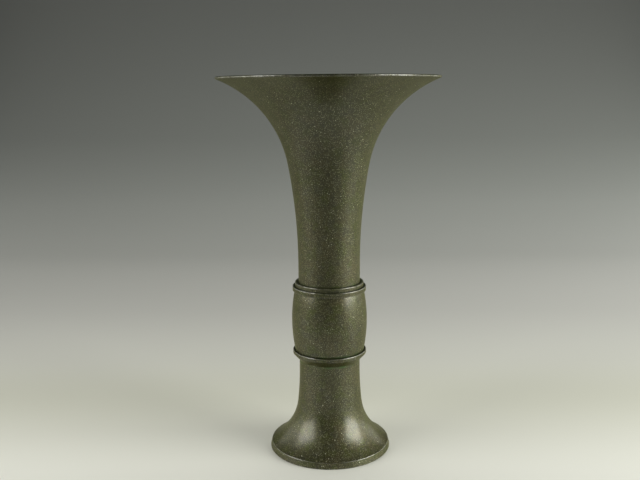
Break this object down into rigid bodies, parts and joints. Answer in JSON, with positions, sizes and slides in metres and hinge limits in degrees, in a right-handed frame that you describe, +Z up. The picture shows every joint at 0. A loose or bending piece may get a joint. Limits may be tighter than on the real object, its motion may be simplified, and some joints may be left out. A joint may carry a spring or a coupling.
{
  "type": "bronze flower vase",
  "caption": "Patinated bronze gu-form vase: a wide trumpet mouth over a barrel drum between ring mouldings, on a flared foot closed by a recessed base disc.",
  "frame": {"origin": "centre of the resting face, where the axis of revolution meets the surface that the vase stands on", "axes": "+Z up along the axis of revolution, towards the mouth; the vase is the same from every side, so X and Y are free"},
  "size_m": [0.1726, 0.1726, 0.3],
  "materials": {
    "patinated_bronze": "satin olive brown patina with fine pale speckle",
    "base_bronze": "turned, dull brown",
    "soft_solder": "dull grey tin solder"
  },
  "bodies": {
    "root": {"trumpet_neck": "patinated_bronze", "upper_collar": "patinated_bronze", "drum": "patinated_bronze", "foot": "patinated_bronze", "base_plate": "base_bronze", "upper_solder": "soft_solder", "lower_solder": "soft_solder", "base_solder": "soft_solder"}
  },
  "joints": []
}
